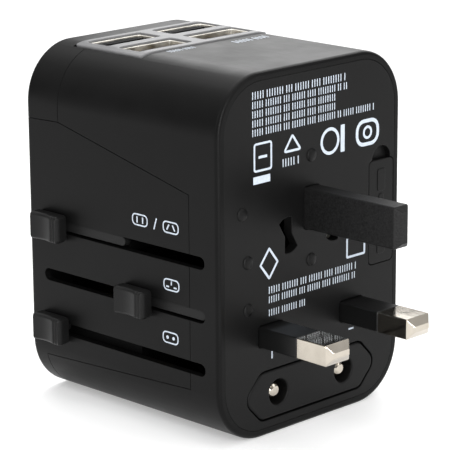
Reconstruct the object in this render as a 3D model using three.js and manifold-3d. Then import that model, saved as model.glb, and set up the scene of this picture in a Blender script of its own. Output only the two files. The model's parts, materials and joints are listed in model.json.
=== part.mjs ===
// Universal travel adapter with four USB outlets.
// Units are millimetres and +Z is up. The plug face looks along +Y, the socket face along -Y,
// and the three plug sliders are on the +X side. The origin is on the bottom face.
// At rest the UK plug is out, the US/AUS and EU plugs are in, and every other piece is closed.
import * as THREE from 'three';
import { mergeVertices } from 'three/addons/utils/BufferGeometryUtils.js';
import Module from 'manifold-3d';

const wasm = await Module();
wasm.setup();

// ---- driving dimensions -------------------------------------------------------------------

const BODY = { width: 49.4, height: 69.2, depth: 51.8, corner: 11 };
const WALL = 1.5;
const GAP = 0.3;
const SEAM = 0.15;
const PIN_PLAY = 0.15;
const BUTT = 0.1;
const OVERLAP = 0.5;
const PLATE = { inset: WALL + GAP, thick: 2 };
const PLUG_Y = 25.6;
const SOCKET_Y = PLUG_Y - BODY.depth;
const INNER_X = BODY.width / 2 - WALL;
const BEYOND = 5;

const ROUND = 16;
const CORNER_STEPS = 8;
const WELD = 1e-4;

// Parting line between the socket-side shell and the plug-side shell, seen from the side.
const PARTING = {
  bottomRing: 3.9,
  crown: 9,
  panelFront: PLUG_Y - 7.5,
  panelLow: { front: 10.4, back: 8.35 },
  panelHigh: { front: 47.2, back: 55.4 },
  crownFoot: 54.9,
};

const SLOT = { height: 2.4, start: -22, end: 22.1 };
const KNOB = { length: 7.6, height: 5.4, proud: 3.1, retracted: -19.1, edge: 0.4 };
const SCOOP = { depth: 0.4, end: 0.6 };
const LIP = { reach: 0.45, low: 1.9, high: 2.6, top: 3 };
const STEM = { height: 1.8, start: 1.5, end: 1 };
const TONGUE = { below: 0.2, end: SLOT.end - 0.55 };
const FLANGE = { thick: 1.4, height: 4.4 };
const CARRIAGE = { thick: 4, stop: PLUG_Y - 2.6 };

// BS 1363 plug: pin sections, lengths and the distance from the pin line to the earth pin.
const UK = {
  z: 19.6,
  pitch: 22.23,
  pin: { width: 6.35, height: 3.97, length: 17.7 },
  earth: { width: 3.97, height: 7.92, length: 22.73, rise: 22.23 },
  sleeve: 9.5,
  neck: 0.6,
  knobZ: 24.85,
  travel: 23.4,
  tip: { length: 1.1, insetX: 1.17, insetZ: 1.43 },
  earthTip: { length: 1.05, insetX: 1.25, insetZ: 1.05 },
  carriage: { halfX: 15.4, low: 17.2, high: 26.4, armLow: 22.7, mastHalf: 2.6, mastTop: 0.5 },
};

// NEMA 1-15 blades that also swivel to the AS/NZS 3112 angle.
const US = {
  z: 37.6,
  pitch: 12.7,
  blade: { thick: 1.5, height: 6.35, length: 17.5 },
  swivel: [0, 10, 20, 30],
  slotPlay: 0.15,
  knobZ: 35,
  travel: 21,
  tongueEnd: 0.6,
  root: { radius: 3.2, length: 1.5, setback: 1.4 },
  tip: { length: 0.8, inset: 0.4 },
  carriage: { inner: 3, outer: 10.6, low: 33.4, high: 50.4, bridge: 46.8, armHalf: 1.9 },
};

// CEE 7/16 pins in a six-sided guide block.
const EU = {
  z: 7.86,
  pitch: 18,
  pin: { radius: 2, length: 19, recess: 0.7 },
  sleeve: { length: 10, wall: 0.35 },
  bore: 2.45,
  block: { halfWidth: 18.15, halfFlat: 13.6, height: 9.2, thick: 3, corner: 2.2 },
  knobZ: 14.7,
  travel: 19.7,
  dome: { length: 0.6, inset: 0.5 },
  carriage: { halfX: 12.4, low: 3.6, high: 12, armLow: 8, risePlace: 5, riseLow: 10, riseHalf: 1.9 },
};

const DOOR = { x: -19.45, width: 6.9, low: 27.2, high: 47.6, thick: 1.6, corner: 1 };
const NOTCH = { radius: 2.6, depth: 1.2 };
const FUSE = { radius: 2.6, length: 20, cap: 5, capStep: 0.15 };
const TRAY = { depth: 7, wall: 0.4, side: 0.1 };

const BUMP = { radius: 1.3, proud: 0.45 };
const BUMPS = [[0.15, 51.7], [18.5, 43.7], [17.1, 34.4], [0.15, 31.7], [17, 25.4]];

const BEZEL = { width: 33.9, yLow: -20.4, yHigh: -2.1, proud: 0.3, thick: 0.9, reach: 8 };
const USB = {
  pitchX: 16.8,
  rows: [-15.8, -7.1],
  mouth: [13.6, 6.2],
  shell: [13.3, 5.9],
  wall: 0.4,
  top: 69.1,
  bottom: 53.6,
  floor: 54.6,
  tongue: { width: 11, thick: 1.9, top: 61.6, offset: 1.3 },
};
const BOARD = { halfX: 18, yLow: -21, yHigh: 20.5, low: 52.2, thick: 1.2 };
const TRANSFORMER = {
  y: 10.5,
  bobbin: { width: 15, depth: 13, height: 1.4 },
  winding: { width: 12, depth: 11, height: 11.5 },
  core: { width: 15, depth: 8, low: 2.6, high: 10 },
};
const CAPACITOR = { radius: 4, height: 11.5, x: 13.4, y: 11 };
const BOARD_SCREW = { head: 1.7, headHeight: 1.1, shank: 0.9, length: 4.6, x: 15, y: 2.2 };

const SOCKET = { z: 22, earthZ: 44.23, live: [7.2, 4.6], slot: [2.3, 7.8], round: 2.65, earth: [4.6, 8.6] };
const SHUTTER = { thick: 1.4, halfX: 16, low: 11.6, high: 27.4, mast: 3.6, top: 49.4 };
const WINDOW = { x: 10, z: 16, width: 10, height: 5.6 };
const SPRING = { radius: 1.5, wire: 0.3, turns: 5, x: 9.5, z: 27.8, length: 8, sides: 5, steps: 10 };
const CLIP = { leaf: 0.5, start: -21.2, end: -9.4, halfWidth: 3.4, earthHalf: 4 };
const CHASSIS = { halfX: 18.2, low: 12.4, high: 50.6, y: -8.9, thick: 2 };
const BAR = { x: 17.6, thick: 0.6, low: 17.7, high: 20.5, end: 20 };

const COLOURS = {
  shell: [0x202224, 0.55, 0],
  plate: [0x1e2022, 0.5, 0],
  knob: [0x2e3134, 0.5, 0],
  bezel: [0xb9bdc1, 0.35, 0.3],
  nickel: [0xc9c2b6, 0.22, 1],
  brass: [0xb58a3c, 0.3, 1],
  sleeve: [0x121314, 0.4, 0],
  earth: [0x18191a, 0.6, 0],
  inner: [0x3a3d40, 0.6, 0],
  glass: [0xd8dcdc, 0.1, 0],
  steel: [0xb0b4b8, 0.3, 1],
  board: [0x1f5a34, 0.5, 0],
  tape: [0xc9a43a, 0.5, 0],
  can: [0x24324c, 0.4, 0],
};

// ---- solids -------------------------------------------------------------------------------

const EX = new THREE.Vector3(1, 0, 0);
const EY = new THREE.Vector3(0, 1, 0);
const EZ = new THREE.Vector3(0, 0, 1);

function toManifold(geometry) {
  const bare = geometry.clone();
  bare.deleteAttribute('normal');
  bare.deleteAttribute('uv');
  const welded = mergeVertices(bare, WELD);
  return new wasm.Manifold(new wasm.Mesh({
    numProp: 3,
    vertProperties: new Float32Array(welded.attributes.position.array),
    triVerts: new Uint32Array(welded.index.array),
  }));
}

function toGeometry(manifold) {
  const mesh = manifold.getMesh();
  const geometry = new THREE.BufferGeometry();
  geometry.setAttribute('position', new THREE.BufferAttribute(Float32Array.from(mesh.vertProperties), 3));
  geometry.setIndex(Array.from(mesh.triVerts));
  const flat = geometry.toNonIndexed();
  flat.computeVertexNormals();
  return flat;
}

function box([x0, x1], [y0, y1], [z0, z1]) {
  const geometry = new THREE.BoxGeometry(x1 - x0, y1 - y0, z1 - z0);
  geometry.translate((x0 + x1) / 2, (y0 + y1) / 2, (z0 + z1) / 2);
  return toManifold(geometry);
}

// Extrudes an outline between two places on one axis: X takes (y, z), Y takes (x, z), Z takes (x, y).
function prism(outline, axis, low, high) {
  const shape = new THREE.Shape(outline.map(([u, v]) => new THREE.Vector2(u, v)));
  const geometry = new THREE.ExtrudeGeometry(shape, { depth: high - low, bevelEnabled: false });
  const turn = new THREE.Matrix4();
  if (axis === 'X') turn.makeBasis(EY, EZ, EX).setPosition(low, 0, 0);
  if (axis === 'Y') turn.makeBasis(EX, EZ, EY.clone().negate()).setPosition(0, high, 0);
  if (axis === 'Z') turn.setPosition(0, 0, low);
  return toManifold(geometry.applyMatrix4(turn));
}

function rectangle(u, v, width, height) {
  const [a, b] = [width / 2, height / 2];
  return [[u - a, v - b], [u + a, v - b], [u + a, v + b], [u - a, v + b]];
}

function circle(u, v, radius, steps = ROUND) {
  return Array.from({ length: steps }, (_, i) => {
    const angle = (2 * Math.PI * i) / steps;
    return [u + radius * Math.cos(angle), v + radius * Math.sin(angle)];
  });
}

function roundedRectangle(u, v, width, height, radius, steps = CORNER_STEPS) {
  const corners = [[1, 1], [-1, 1], [-1, -1], [1, -1]];
  return corners.flatMap(([su, sv], quarter) => Array.from({ length: steps + 1 }, (_, i) => {
    const angle = (Math.PI / 2) * (quarter + i / steps);
    return [
      u + su * (width / 2 - radius) + radius * Math.cos(angle),
      v + sv * (height / 2 - radius) + radius * Math.sin(angle),
    ];
  }));
}

// Turns each corner of an outline into an arc.
function softened(outline, radius, steps = CORNER_STEPS / 2) {
  return outline.flatMap((point, i) => {
    const corner = new THREE.Vector2(...point);
    const back = new THREE.Vector2(...outline.at(i - 1)).sub(corner).normalize();
    const ahead = new THREE.Vector2(...outline[(i + 1) % outline.length]).sub(corner).normalize();
    const half = back.angleTo(ahead) / 2;
    const centre = back.clone().add(ahead).normalize().multiplyScalar(radius / Math.sin(half)).add(corner);
    const first = back.clone().multiplyScalar(radius / Math.tan(half)).add(corner);
    const sweep = (Math.PI - 2 * half) * Math.sign(ahead.cross(back));
    return Array.from({ length: steps + 1 }, (_, k) => {
      const turn = first.clone().rotateAround(centre, (sweep * k) / steps);
      return [turn.x, turn.y];
    });
  });
}

function turned(outline, u, v, degrees) {
  const angle = THREE.MathUtils.degToRad(degrees);
  return outline.map(([a, b]) => [
    u + (a - u) * Math.cos(angle) - (b - v) * Math.sin(angle),
    v + (a - u) * Math.sin(angle) + (b - v) * Math.cos(angle),
  ]);
}

// A block along Y whose far end narrows to a smaller rectangle.
function taperedEnd(x, z, width, height, y, length, insetX, insetZ = insetX) {
  const near = rectangle(x, z, width, height);
  const far = rectangle(x, z, width - 2 * insetX, height - 2 * insetZ);
  const points = [...near.map(([a, b]) => [a, y, b]), ...far.map(([a, b]) => [a, y + length, b])];
  const faces = [0, 1, 2, 0, 2, 3, 4, 6, 5, 4, 7, 6];
  for (let i = 0; i < 4; i += 1) {
    const j = (i + 1) % 4;
    faces.push(i, 4 + i, 4 + j, i, 4 + j, j);
  }
  const geometry = new THREE.BufferGeometry();
  geometry.setAttribute('position', new THREE.Float32BufferAttribute(points.flat(), 3));
  geometry.setIndex(faces);
  return toManifold(geometry);
}

function union(solids) {
  return solids.reduce((whole, solid) => whole.add(solid));
}

function cut(solid, tools) {
  return tools.reduce((rest, tool) => rest.subtract(tool), solid);
}

// ---- shells and plates --------------------------------------------------------------------

function bodyOutline(inset) {
  return roundedRectangle(
    0,
    BODY.height / 2,
    BODY.width - 2 * inset,
    BODY.height - 2 * inset,
    BODY.corner - inset,
  );
}

function bodyTube() {
  const inside = prism(bodyOutline(WALL), 'Y', SOCKET_Y - BEYOND, PLUG_Y + BEYOND);
  return prism(bodyOutline(0), 'Y', SOCKET_Y, PLUG_Y).subtract(inside);
}

// Side view of the socket-side shell: bottom ring and slider panel. grow widens it by the seam.
function frontProfile(grow) {
  const ring = SOCKET_Y + PARTING.bottomRing + grow;
  const front = PARTING.panelFront + grow;
  const outline = [
    [SOCKET_Y - BEYOND, -BEYOND],
    [ring, -BEYOND],
    [ring, PARTING.panelLow.back - grow],
    [front, PARTING.panelLow.front - grow],
    [front, PARTING.panelHigh.front + grow],
    [SOCKET_Y + PARTING.crown, PARTING.panelHigh.back + grow],
    [SOCKET_Y - BEYOND, PARTING.crownFoot + grow],
  ];
  return prism(outline, 'X', -BODY.width, BODY.width);
}

function crownProfile(grow) {
  const edge = SOCKET_Y + PARTING.crown + grow;
  const outline = [
    [SOCKET_Y - BEYOND, PARTING.crownFoot + SEAM - grow],
    [edge, PARTING.panelHigh.back + SEAM - grow],
    [edge, BODY.height + BEYOND],
    [SOCKET_Y - BEYOND, BODY.height + BEYOND],
  ];
  return prism(outline, 'X', -BODY.width, BODY.width);
}

function bezelPocket() {
  const half = BEZEL.width / 2 + GAP;
  return box(
    [-half, half],
    [BEZEL.yLow - GAP, BEZEL.yHigh + GAP],
    [BODY.height - BEZEL.reach, BODY.height + BEYOND],
  );
}

function sliderSlots() {
  const middle = (SLOT.start + SLOT.end) / 2;
  const length = SLOT.end - SLOT.start;
  return [UK, US, EU].map(({ knobZ }) => prism(
    roundedRectangle(middle, knobZ, length, SLOT.height, SLOT.height / 2 - BUTT, CORNER_STEPS / 2),
    'X',
    0,
    BODY.width,
  ));
}

function rearHousing() {
  return cut(bodyTube(), [frontProfile(SEAM), crownProfile(SEAM), bezelPocket(), ...sliderSlots()]);
}

function frontHousing() {
  return cut(bodyTube().intersect(frontProfile(0)), sliderSlots());
}

function frontCrown() {
  return bodyTube().intersect(crownProfile(0)).subtract(bezelPocket());
}

function fusePocketOutline(grow) {
  const middle = (DOOR.low + DOOR.high) / 2;
  const [width, height] = [DOOR.width + 2 * grow, DOOR.high - DOOR.low + 2 * grow];
  return roundedRectangle(DOOR.x, middle, width, height, DOOR.corner, 3);
}

function euBlockOutline(grow) {
  const { halfWidth, halfFlat, height } = EU.block;
  const [a, b, c] = [halfWidth + grow, halfFlat + grow / 2, height / 2 + grow];
  const points = [[-a, EU.z], [-b, EU.z - c], [b, EU.z - c], [a, EU.z], [b, EU.z + c], [-b, EU.z + c]];
  return softened(points, EU.block.corner);
}

function plugPlateCutters() {
  const through = (outline) => prism(outline, 'Y', PLUG_Y - BEYOND, PLUG_Y + BEYOND);
  const hole = 2 * PIN_PLAY;
  const pins = [-1, 1].map((side) => through(
    rectangle((side * UK.pitch) / 2, UK.z, UK.pin.width + hole, UK.pin.height + hole),
  ));
  const earth = through(rectangle(0, UK.z + UK.earth.rise, UK.earth.width + hole, UK.earth.height + hole));
  const bladePlay = 2 * US.slotPlay;
  const blades = [-1, 1].flatMap((side) => US.swivel.map((degrees) => {
    const x = (side * US.pitch) / 2;
    const slot = rectangle(x, US.z, US.blade.thick + bladePlay, US.blade.height + bladePlay);
    return through(turned(slot, x, US.z, -side * degrees));
  }));
  const notch = prism(
    circle(DOOR.x, DOOR.high + SEAM, NOTCH.radius),
    'Y',
    PLUG_Y - NOTCH.depth,
    PLUG_Y + BEYOND,
  );
  return [...pins, earth, ...blades, notch, through(euBlockOutline(GAP)), through(fusePocketOutline(SEAM))];
}

function plugPlate() {
  const plate = prism(bodyOutline(PLATE.inset), 'Y', PLUG_Y - PLATE.thick, PLUG_Y);
  const bumps = BUMPS.map(([x, z]) => prism(
    circle(x, z, BUMP.radius),
    'Y',
    PLUG_Y - OVERLAP,
    PLUG_Y + BUMP.proud,
  ));
  return union([cut(plate, plugPlateCutters()), ...bumps]);
}

function euBlock() {
  const block = prism(euBlockOutline(0), 'Y', PLUG_Y - EU.block.thick, PLUG_Y);
  const bores = [-1, 1].map((side) => prism(
    circle((side * EU.pitch) / 2, EU.z, EU.bore),
    'Y',
    PLUG_Y - BEYOND,
    PLUG_Y + BEYOND,
  ));
  return cut(block, bores);
}

// ---- fuse compartment ---------------------------------------------------------------------

function fuseDoor() {
  return prism(fusePocketOutline(0), 'Y', PLUG_Y - DOOR.thick, PLUG_Y);
}

function fuseTray() {
  const front = PLUG_Y - PLATE.thick - BUTT;
  const back = front - TRAY.depth;
  const outer = prism(fusePocketOutline(-TRAY.side), 'Y', back, front);
  const inner = prism(fusePocketOutline(-TRAY.side - TRAY.wall), 'Y', back + TRAY.wall, front + BEYOND);
  return outer.subtract(inner);
}

// A 5 x 20 mm glass fuse lying along Z: glass between two metal caps.
function fuse(x, y) {
  const middle = (DOOR.low + DOOR.high) / 2;
  const half = (FUSE.length - 2 * (GAP + TRAY.wall)) / 2;
  const inCap = half - OVERLAP;
  const glass = prism(circle(x, y, FUSE.radius - FUSE.capStep), 'Z', middle - inCap, middle + inCap);
  const caps = [[-half, -half + FUSE.cap], [half - FUSE.cap, half]];
  return union([glass, ...caps.map(([a, b]) => prism(circle(x, y, FUSE.radius), 'Z', middle + a, middle + b))]);
}

// ---- sliders ------------------------------------------------------------------------------

// Grip seen from above: a scooped outer face, and a lip that leans out on the plug side.
function grip(y, z) {
  const wall = BODY.width / 2;
  const outer = wall + KNOB.proud;
  const [back, front] = [y - KNOB.length / 2, y + KNOB.length / 2];
  const outline = [
    [wall + BUTT, back],
    [outer - KNOB.edge, back],
    [outer, back + KNOB.edge],
    [outer - SCOOP.depth, y - SCOOP.end / 2],
    [outer, front - SCOOP.end],
    [wall + LIP.top, front],
    [wall + LIP.high, front + LIP.reach],
    [wall + LIP.low, front + LIP.reach],
    [wall + BUTT, front],
  ];
  return prism(outline, 'Z', z - KNOB.height / 2, z + KNOB.height / 2);
}

// Knob, the tongue that rides in the slot, and the inner flange that holds it to the panel.
function sliderKnob(y, z, tongueEnd, flangeEnd) {
  const start = y - KNOB.length / 2 + STEM.start;
  const wall = BODY.width / 2;
  const within = INNER_X - OVERLAP;
  const across = [z - STEM.height / 2, z + STEM.height / 2];
  const stem = box([within, wall + OVERLAP], [start, y + KNOB.length / 2 - STEM.end], across);
  const tongue = box([within, wall - TONGUE.below], [start, tongueEnd], across);
  const flange = box(
    [INNER_X - GAP - FLANGE.thick, INNER_X - GAP],
    [start, flangeEnd],
    [z - FLANGE.height / 2, z + FLANGE.height / 2],
  );
  return union([grip(y, z), stem, tongue, flange]);
}

const FLANGE_X = INNER_X - GAP - FLANGE.thick - BUTT;
const US_BASE = CARRIAGE.stop - US.root.setback - US.travel;
const EU_BASE = CARRIAGE.stop - EU.pin.recess - EU.travel;

function ukKnob() {
  const y = KNOB.retracted + UK.travel;
  return sliderKnob(y, UK.knobZ, TONGUE.end, CARRIAGE.stop);
}

function usKnob() {
  return sliderKnob(KNOB.retracted, US.knobZ, US.tongueEnd, US_BASE);
}

function euKnob() {
  const stemEnd = KNOB.retracted + KNOB.length / 2 - STEM.end;
  return sliderKnob(KNOB.retracted, EU.knobZ, stemEnd, CARRIAGE.stop - EU.travel);
}

// ---- UK plug ------------------------------------------------------------------------------

function ukCarriage() {
  const span = [CARRIAGE.stop - CARRIAGE.thick, CARRIAGE.stop];
  const { halfX, low, high, armLow, mastHalf, mastTop } = UK.carriage;
  const earthTop = UK.z + UK.earth.rise + UK.earth.height / 2;
  return union([
    box([-halfX, halfX], span, [low, high]),
    box([-mastHalf, mastHalf], span, [high - OVERLAP, earthTop + mastTop]),
    box([halfX - OVERLAP, FLANGE_X], span, [armLow, high]),
  ]);
}

function ukPin(side) {
  const x = (side * UK.pitch) / 2;
  const { width, height, length } = UK.pin;
  const { tip } = UK;
  const shoulder = PLUG_Y + UK.sleeve;
  const end = PLUG_Y + length;
  const neck = rectangle(x, UK.z, width - 2 * UK.neck, height - 2 * UK.neck);
  return union([
    prism(neck, 'Y', CARRIAGE.stop + BUTT, shoulder + OVERLAP),
    prism(rectangle(x, UK.z, width, height), 'Y', shoulder, end - tip.length),
    taperedEnd(x, UK.z, width, height, end - tip.length, tip.length, tip.insetX, tip.insetZ),
  ]);
}

function ukSleeve(side) {
  const x = (side * UK.pitch) / 2;
  const { width, height } = UK.pin;
  const wall = UK.neck - BUTT;
  const tube = prism(rectangle(x, UK.z, width, height), 'Y', CARRIAGE.stop + BUTT, PLUG_Y + UK.sleeve - BUTT);
  const bore = rectangle(x, UK.z, width - 2 * wall, height - 2 * wall);
  return tube.subtract(prism(bore, 'Y', 0, PLUG_Y * 2));
}

function ukEarthPin() {
  const z = UK.z + UK.earth.rise;
  const { width, height, length } = UK.earth;
  const { length: tipLength, insetX, insetZ } = UK.earthTip;
  const taper = PLUG_Y + length - tipLength;
  return union([
    prism(rectangle(0, z, width, height), 'Y', CARRIAGE.stop + BUTT, taper),
    taperedEnd(0, z, width, height, taper, tipLength, insetX, insetZ),
  ]);
}

// ---- US and AUS plug ----------------------------------------------------------------------

// An arch over the earth pin, so that either plug can pass the other.
function usCarriage() {
  const span = [US_BASE - CARRIAGE.thick, US_BASE];
  const { inner, outer, low, high, bridge, armHalf } = US.carriage;
  const legs = [[-outer, -inner], [inner, outer]].map((x) => box(x, span, [low, high]));
  const arm = box([outer - OVERLAP, FLANGE_X], span, [US.knobZ - armHalf, US.knobZ + armHalf]);
  return union([...legs, box([-outer, outer], span, [bridge, high]), arm]);
}

function usBlade(side) {
  const x = (side * US.pitch) / 2;
  const base = US_BASE + BUTT;
  const { thick, height, length } = US.blade;
  const { length: tipLength, inset } = US.tip;
  const taper = PLUG_Y + length - US.travel - tipLength;
  return union([
    prism(circle(x, US.z, US.root.radius), 'Y', base, base + US.root.length),
    prism(rectangle(x, US.z, thick, height), 'Y', base + OVERLAP, taper),
    taperedEnd(x, US.z, thick, height, taper, tipLength, inset),
  ]);
}

// ---- EU plug ------------------------------------------------------------------------------

function euCarriage() {
  const span = [EU_BASE - CARRIAGE.thick, EU_BASE];
  const { halfX, low, high, armLow, risePlace, riseLow, riseHalf } = EU.carriage;
  return union([
    box([-halfX, halfX], span, [low, high]),
    box([halfX - OVERLAP, FLANGE_X - risePlace + OVERLAP], span, [armLow, high]),
    box([FLANGE_X - risePlace, FLANGE_X], span, [riseLow, EU.knobZ + riseHalf]),
  ]);
}

function euPin(side) {
  const x = (side * EU.pitch) / 2;
  const { radius, length, recess } = EU.pin;
  const tip = PLUG_Y - recess;
  const sleeveEnd = tip - (length - EU.sleeve.length);
  const { length: domeLength, inset } = EU.dome;
  const core = radius - EU.sleeve.wall - BUTT;
  return union([
    prism(circle(x, EU.z, core), 'Y', EU_BASE + BUTT, sleeveEnd + OVERLAP),
    prism(circle(x, EU.z, radius), 'Y', sleeveEnd + BUTT, tip - domeLength),
    prism(circle(x, EU.z, radius - inset), 'Y', tip - domeLength - OVERLAP, tip),
  ]);
}

function euSleeve(side) {
  const x = (side * EU.pitch) / 2;
  const sleeveEnd = PLUG_Y - EU.pin.recess - (EU.pin.length - EU.sleeve.length);
  const tube = prism(circle(x, EU.z, EU.pin.radius), 'Y', EU_BASE + BUTT, sleeveEnd);
  return tube.subtract(prism(circle(x, EU.z, EU.pin.radius - EU.sleeve.wall), 'Y', 0, PLUG_Y));
}

// ---- USB supply ---------------------------------------------------------------------------

function usbPlaces() {
  return USB.rows.flatMap((y) => [-1, 1].map((side) => [(side * USB.pitchX) / 2, y]));
}

function usbBezel() {
  const half = BEZEL.width / 2;
  const band = prism(bodyOutline(-BEZEL.proud), 'Y', BEZEL.yLow, BEZEL.yHigh)
    .subtract(prism(bodyOutline(BEZEL.thick), 'Y', SOCKET_Y, PLUG_Y));
  const plate = band.intersect(box(
    [-half, half],
    [SOCKET_Y, PLUG_Y],
    [BODY.height - BEZEL.reach, BODY.height + BEYOND],
  ));
  const mouths = usbPlaces().map(([x, y]) => prism(
    rectangle(x, y, ...USB.mouth),
    'Z',
    BODY.height - BEZEL.reach,
    BODY.height + BEYOND,
  ));
  return cut(plate, mouths);
}

// A USB-A shell round its contact tongue. The two rows have their tongues on the outer sides.
function usbPort([x, y]) {
  const [width, depth] = USB.shell;
  const { width: tongueWidth, thick, top, offset } = USB.tongue;
  const outward = Math.sign(y - (USB.rows[0] + USB.rows[1]) / 2);
  const within = rectangle(x, y, width - 2 * USB.wall, depth - 2 * USB.wall);
  const shell = prism(rectangle(x, y, width, depth), 'Z', USB.bottom, USB.top);
  const inner = prism(within, 'Z', USB.floor, USB.top + BEYOND);
  const blade = rectangle(x, y + outward * offset, tongueWidth, thick);
  return shell.subtract(inner).add(prism(blade, 'Z', USB.floor - OVERLAP, top));
}

function usbBoard() {
  const level = [BOARD.low, BOARD.low + BOARD.thick];
  const board = box([-BOARD.halfX, BOARD.halfX], [BOARD.yLow, BOARD.yHigh], level);
  return cut(board, [-1, 1].map((side) => prism(
    circle(side * BOARD_SCREW.x, BOARD_SCREW.y, BOARD_SCREW.shank + GAP),
    'Z',
    BOARD.low - BEYOND,
    BOARD.low + BEYOND,
  )));
}

function boardScrew(side) {
  const [x, y] = [side * BOARD_SCREW.x, BOARD_SCREW.y];
  const top = BOARD.low + BOARD.thick + BUTT;
  return union([
    prism(circle(x, y, BOARD_SCREW.head), 'Z', top, top + BOARD_SCREW.headHeight),
    prism(circle(x, y, BOARD_SCREW.shank), 'Z', top - BOARD_SCREW.length, top + OVERLAP),
  ]);
}

// A bobbin flange, the winding on it, and the core round the winding.
function transformer() {
  const { y, bobbin, winding, core } = TRANSFORMER;
  const low = BOARD.low + BOARD.thick + BUTT;
  const block = (width, depth, from, to) => prism(rectangle(0, y, width, depth), 'Z', low + from, low + to);
  return union([
    block(bobbin.width, bobbin.depth, 0, bobbin.height),
    block(winding.width, winding.depth, 0, winding.height),
    block(core.width, core.depth, core.low, core.high),
  ]);
}

function capacitor(side) {
  const low = BOARD.low + BOARD.thick + BUTT;
  return prism(circle(side * CAPACITOR.x, CAPACITOR.y, CAPACITOR.radius), 'Z', low, low + CAPACITOR.height);
}

// ---- outlet -------------------------------------------------------------------------------

function socketOpenings() {
  const through = (outline) => prism(outline, 'Y', SOCKET_Y - BEYOND, SOCKET_Y + BEYOND);
  const sides = [-1, 1].flatMap((side) => [
    through(rectangle((side * UK.pitch) / 2, SOCKET.z, ...SOCKET.live)),
    through(rectangle((side * US.pitch) / 2, SOCKET.z, ...SOCKET.slot)),
    through(circle((side * EU.pitch) / 2, SOCKET.z, SOCKET.round)),
  ]);
  return [...sides, through(rectangle(0, SOCKET.earthZ, ...SOCKET.earth))];
}

function socketPlate() {
  return cut(prism(bodyOutline(PLATE.inset), 'Y', SOCKET_Y, SOCKET_Y + PLATE.thick), socketOpenings());
}

function socketShutter() {
  const y = SOCKET_Y + PLATE.thick + GAP;
  const span = [y, y + SHUTTER.thick];
  const plate = union([
    box([-SHUTTER.halfX, SHUTTER.halfX], span, [SHUTTER.low, SHUTTER.high]),
    box([-SHUTTER.mast, SHUTTER.mast], span, [SHUTTER.high - OVERLAP, SHUTTER.top]),
  ]);
  const windows = [-1, 1].map((side) => prism(
    rectangle(side * WINDOW.x, WINDOW.z, WINDOW.width, WINDOW.height),
    'Y',
    SOCKET_Y,
    PLUG_Y,
  ));
  return cut(plate, windows);
}

class Coil extends THREE.Curve {
  constructor(x) {
    super();
    this.x = x;
    this.y = SOCKET_Y + PLATE.thick + GAP + SPRING.radius + SPRING.wire;
  }

  getPoint(t) {
    const angle = 2 * Math.PI * SPRING.turns * t;
    return new THREE.Vector3(
      this.x + SPRING.radius * Math.cos(angle),
      this.y + SPRING.radius * Math.sin(angle),
      SPRING.z + SPRING.length * t,
    );
  }
}

function shutterSpring(side) {
  const wire = circle(0, 0, SPRING.wire, SPRING.sides).map(([u, v]) => new THREE.Vector2(u, v));
  return toManifold(new THREE.ExtrudeGeometry(new THREE.Shape(wire), {
    steps: SPRING.turns * SPRING.steps,
    extrudePath: new Coil(side * SPRING.x),
    bevelEnabled: false,
  }));
}

// A forked brass clip: a back strip and two leaves that grip a plug pin.
function pinClip(side) {
  const middle = (side * UK.pitch) / 2;
  const x = [middle - CLIP.halfWidth, middle + CLIP.halfWidth];
  const inner = SOCKET.live[1] / 2;
  const outer = inner + CLIP.leaf;
  return union([
    box(x, [CLIP.start, CLIP.end], [SOCKET.z + inner, SOCKET.z + outer]),
    box(x, [CLIP.start, CLIP.end], [SOCKET.z - outer, SOCKET.z - inner]),
    box(x, [CLIP.end - CLIP.leaf, CLIP.end], [SOCKET.z - outer, SOCKET.z + outer]),
  ]);
}

function earthClip() {
  const inner = SOCKET.earth[0] / 2;
  const outer = inner + CLIP.leaf;
  const z = [SOCKET.earthZ - CLIP.earthHalf, SOCKET.earthZ + CLIP.earthHalf];
  return union([
    box([inner, outer], [CLIP.start, CLIP.end], z),
    box([-outer, -inner], [CLIP.start, CLIP.end], z),
    box([-outer, outer], [CLIP.end - CLIP.leaf, CLIP.end], z),
  ]);
}

function chassis() {
  const span = [CHASSIS.y, CHASSIS.y + CHASSIS.thick];
  return box([-CHASSIS.halfX, CHASSIS.halfX], span, [CHASSIS.low, CHASSIS.high]);
}

function busBar(side) {
  const x = side > 0 ? [BAR.x, BAR.x + BAR.thick] : [-BAR.x - BAR.thick, -BAR.x];
  return box(x, [CHASSIS.y + CHASSIS.thick + BUTT, BAR.end], [BAR.low, BAR.high]);
}

// ---- assembly -----------------------------------------------------------------------------

function piece(name, solid, colour) {
  const [color, roughness, metalness] = COLOURS[colour];
  const material = new THREE.MeshStandardMaterial({ color, roughness, metalness });
  const mesh = new THREE.Mesh(toGeometry(solid), material);
  mesh.name = name;
  return mesh;
}

function shells() {
  return [
    piece('rear_housing', rearHousing(), 'shell'),
    piece('front_housing', frontHousing(), 'shell'),
    piece('front_crown', frontCrown(), 'shell'),
    piece('plug_plate', plugPlate(), 'plate'),
    piece('socket_plate', socketPlate(), 'plate'),
    piece('eu_guide_block', euBlock(), 'plate'),
  ];
}

function fuseParts() {
  const y = PLUG_Y - PLATE.thick - BUTT - TRAY.depth / 2 + TRAY.wall / 2;
  return [
    piece('fuse_door', fuseDoor(), 'plate'),
    piece('fuse_tray', fuseTray(), 'inner'),
    piece('spare_fuse', fuse(DOOR.x, y), 'glass'),
    piece('main_fuse', fuse(DOOR.x, y - TRAY.depth), 'glass'),
  ];
}

function ukPlug() {
  return [
    piece('uk_knob', ukKnob(), 'knob'),
    piece('uk_carriage', ukCarriage(), 'inner'),
    piece('uk_live_pin', ukPin(1), 'nickel'),
    piece('uk_neutral_pin', ukPin(-1), 'nickel'),
    piece('uk_live_sleeve', ukSleeve(1), 'sleeve'),
    piece('uk_neutral_sleeve', ukSleeve(-1), 'sleeve'),
    piece('uk_earth_pin', ukEarthPin(), 'earth'),
  ];
}

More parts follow.
